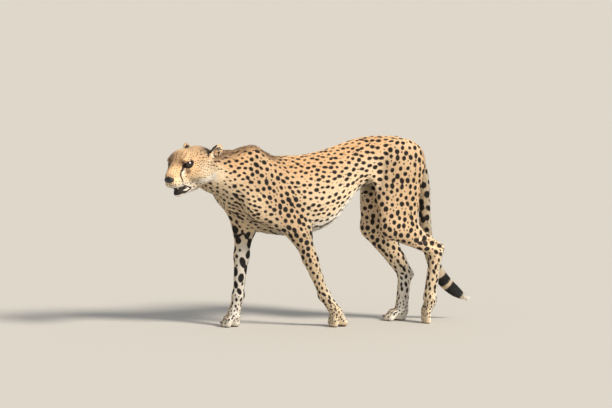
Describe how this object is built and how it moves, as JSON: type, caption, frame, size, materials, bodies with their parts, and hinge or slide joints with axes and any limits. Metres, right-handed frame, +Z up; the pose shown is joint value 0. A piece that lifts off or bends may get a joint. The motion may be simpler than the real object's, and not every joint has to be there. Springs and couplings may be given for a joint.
{
  "type": "cheetah",
  "caption": "Life-size still model of a walking cheetah, head turned to its left, mouth a little open, long tail hanging behind.",
  "frame": {"origin": "on the floor, under the middle of the body's box", "axes": "+Z up; the cheetah faces -X, its left side is towards -Y and its tail trails towards +X"},
  "size_m": [1.3138, 0.2922, 0.7565],
  "materials": {
    "coat_tan": "short fur, tan with black spots",
    "coat_pale": "short fur, cream",
    "coat_dark": "short fur, near black",
    "nose_leather": "moist bare skin",
    "eye": "clear wet dome over an amber iris"
  },
  "bodies": {
    "root": {"head": "coat_tan", "lower_jaw": "coat_pale", "nose": "nose_leather", "ear_left": "coat_tan", "ear_right": "coat_tan", "eye_left": "eye", "eye_right": "eye", "neck": "coat_tan", "trunk": "coat_tan", "tail_base": "coat_tan", "tail_middle": "coat_tan", "tail_tip": "coat_dark", "shoulder_left": "coat_tan", "foreleg_left": "coat_tan", "forepaw_left": "coat_pale", "thigh_left": "coat_tan", "shank_left": "coat_tan", "hindfoot_left": "coat_pale", "shoulder_right": "coat_tan", "foreleg_right": "coat_tan", "forepaw_right": "coat_pale", "thigh_right": "coat_tan", "shank_right": "coat_tan", "hindfoot_right": "coat_pale"}
  },
  "joints": []
}
